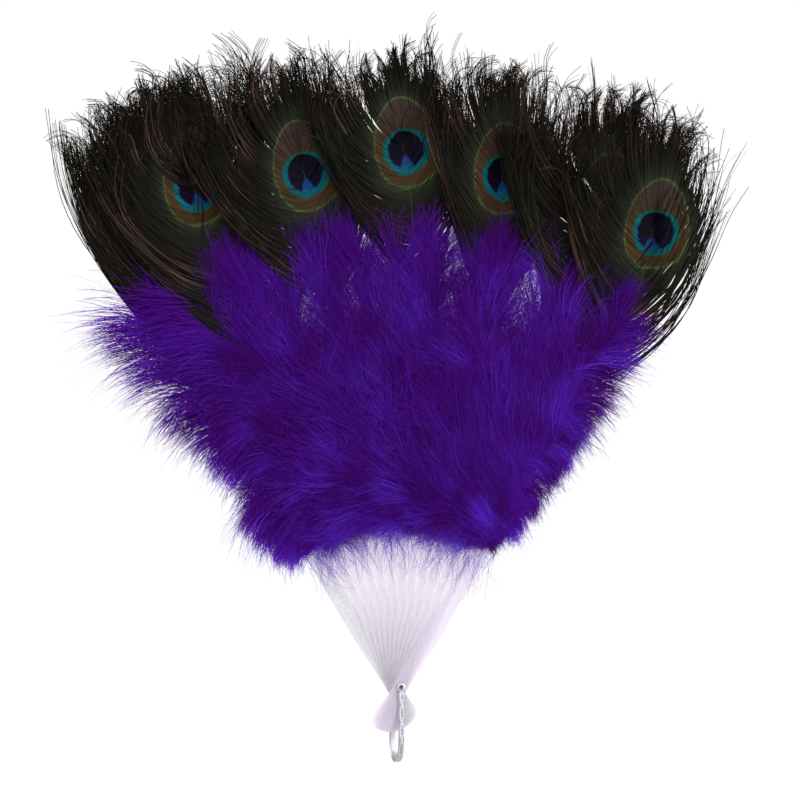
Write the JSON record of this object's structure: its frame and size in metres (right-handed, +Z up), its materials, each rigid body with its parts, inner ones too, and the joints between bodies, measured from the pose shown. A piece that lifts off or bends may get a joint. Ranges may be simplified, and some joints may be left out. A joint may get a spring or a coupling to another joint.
{
  "type": "feather fan",
  "caption": "Folding hand fan: pierced plastic staves on a rivet carry violet marabou plumes and peacock eye feathers; a metal bail loop hangs from the rivet.",
  "frame": {"origin": "middle of the rivet, on its axis, halfway through the stack of staves", "axes": "+Z up along the open fan's middle, +X to the right seen from the front, the rivet's axis along Y, the front faces -Y"},
  "size_m": [0.4431, 0.0541, 0.4479],
  "materials": {
    "stave_plastic": "satin, milky and half translucent",
    "marabou": "dyed down, soft and matt",
    "peacock": "natural barbs with a dark iridescent sheen",
    "ribbon": "satin ribbon",
    "bright_metal": "bright plated, stamped with a rope twist"
  },
  "bodies": {
    "rear_guard": {"rear_guard_stave": "stave_plastic", "marabou_plume_01": "marabou", "peacock_feather_01": "peacock", "rivet": "bright_metal"},
    "stave_02": {"stave_02": "stave_plastic", "marabou_plume_02": "marabou", "link_ribbon_01": "ribbon"},
    "stave_03": {"stave_03": "stave_plastic", "marabou_plume_03": "marabou", "peacock_feather_02": "peacock", "link_ribbon_02": "ribbon"},
    "stave_04": {"stave_04": "stave_plastic", "marabou_plume_04": "marabou", "link_ribbon_03": "ribbon"},
    "stave_05": {"stave_05": "stave_plastic", "marabou_plume_05": "marabou", "peacock_feather_03": "peacock", "link_ribbon_04": "ribbon"},
    "stave_06": {"stave_06": "stave_plastic", "marabou_plume_06": "marabou", "link_ribbon_05": "ribbon"},
    "stave_07": {"stave_07": "stave_plastic", "marabou_plume_07": "marabou", "peacock_feather_04": "peacock", "link_ribbon_06": "ribbon"},
    "stave_08": {"stave_08": "stave_plastic", "marabou_plume_08": "marabou", "link_ribbon_07": "ribbon"},
    "stave_09": {"stave_09": "stave_plastic", "marabou_plume_09": "marabou", "peacock_feather_05": "peacock", "link_ribbon_08": "ribbon"},
    "stave_10": {"stave_10": "stave_plastic", "marabou_plume_10": "marabou", "link_ribbon_09": "ribbon"},
    "stave_11": {"stave_11": "stave_plastic", "marabou_plume_11": "marabou", "peacock_feather_06": "peacock", "link_ribbon_10": "ribbon"},
    "stave_12": {"stave_12": "stave_plastic", "marabou_plume_12": "marabou", "link_ribbon_11": "ribbon"},
    "front_guard": {"front_guard_stave": "stave_plastic", "marabou_plume_13": "marabou", "peacock_feather_07": "peacock", "link_ribbon_12": "ribbon"},
    "bail": {"bail": "bright_metal"}
  },
  "joints": [
    {"name": "fan_fold", "type": "hinge", "parent": "rear_guard", "child": "front_guard", "pos_m": [0, 0, 0], "axis": [0, 1, 0], "range_deg": [-64.8, 0]},
    {"name": "stave_02_fold", "type": "hinge", "parent": "rear_guard", "child": "stave_02", "pos_m": [0, 0, 0], "axis": [0, 1, 0], "range_deg": [-5.5, 0]},
    {"name": "stave_03_fold", "type": "hinge", "parent": "rear_guard", "child": "stave_03", "pos_m": [0, 0, 0], "axis": [0, 1, 0], "range_deg": [-10.9, 0]},
    {"name": "stave_04_fold", "type": "hinge", "parent": "rear_guard", "child": "stave_04", "pos_m": [0, 0, 0], "axis": [0, 1, 0], "range_deg": [-16.3, 0]},
    {"name": "stave_05_fold", "type": "hinge", "parent": "rear_guard", "child": "stave_05", "pos_m": [0, 0, 0], "axis": [0, 1, 0], "range_deg": [-21.7, 0]},
    {"name": "stave_06_fold", "type": "hinge", "parent": "rear_guard", "child": "stave_06", "pos_m": [0, 0, 0], "axis": [0, 1, 0], "range_deg": [-27.1, 0]},
    {"name": "stave_07_fold", "type": "hinge", "parent": "rear_guard", "child": "stave_07", "pos_m": [0, 0, 0], "axis": [0, 1, 0], "range_deg": [-32.5, 0]},
    {"name": "stave_08_fold", "type": "hinge", "parent": "rear_guard", "child": "stave_08", "pos_m": [0, 0, 0], "axis": [0, 1, 0], "range_deg": [-37.9, 0]},
    {"name": "stave_09_fold", "type": "hinge", "parent": "rear_guard", "child": "stave_09", "pos_m": [0, 0, 0], "axis": [0, 1, 0], "range_deg": [-43.3, 0]},
    {"name": "stave_10_fold", "type": "hinge", "parent": "rear_guard", "child": "stave_10", "pos_m": [0, 0, 0], "axis": [0, 1, 0], "range_deg": [-48.7, 0]},
    {"name": "stave_11_fold", "type": "hinge", "parent": "rear_guard", "child": "stave_11", "pos_m": [0, 0, 0], "axis": [0, 1, 0], "range_deg": [-54.1, 0]},
    {"name": "stave_12_fold", "type": "hinge", "parent": "rear_guard", "child": "stave_12", "pos_m": [0, 0, 0], "axis": [0, 1, 0], "range_deg": [-59.5, 0]},
    {"name": "bail_swing", "type": "hinge", "parent": "rear_guard", "child": "bail", "pos_m": [0, 0, 0], "axis": [0, 1, 0], "range_deg": [-125, 125]}
  ],
  "couplings": [
    {"joint": "stave_02_fold", "follows": "fan_fold", "ratio": 0.083333},
    {"joint": "stave_03_fold", "follows": "fan_fold", "ratio": 0.16667},
    {"joint": "stave_04_fold", "follows": "fan_fold", "ratio": 0.25},
    {"joint": "stave_05_fold", "follows": "fan_fold", "ratio": 0.33333},
    {"joint": "stave_06_fold", "follows": "fan_fold", "ratio": 0.41667},
    {"joint": "stave_07_fold", "follows": "fan_fold", "ratio": 0.5},
    {"joint": "stave_08_fold", "follows": "fan_fold", "ratio": 0.58333},
    {"joint": "stave_09_fold", "follows": "fan_fold", "ratio": 0.66667},
    {"joint": "stave_10_fold", "follows": "fan_fold", "ratio": 0.75},
    {"joint": "stave_11_fold", "follows": "fan_fold", "ratio": 0.83333},
    {"joint": "stave_12_fold", "follows": "fan_fold", "ratio": 0.91667}
  ]
}
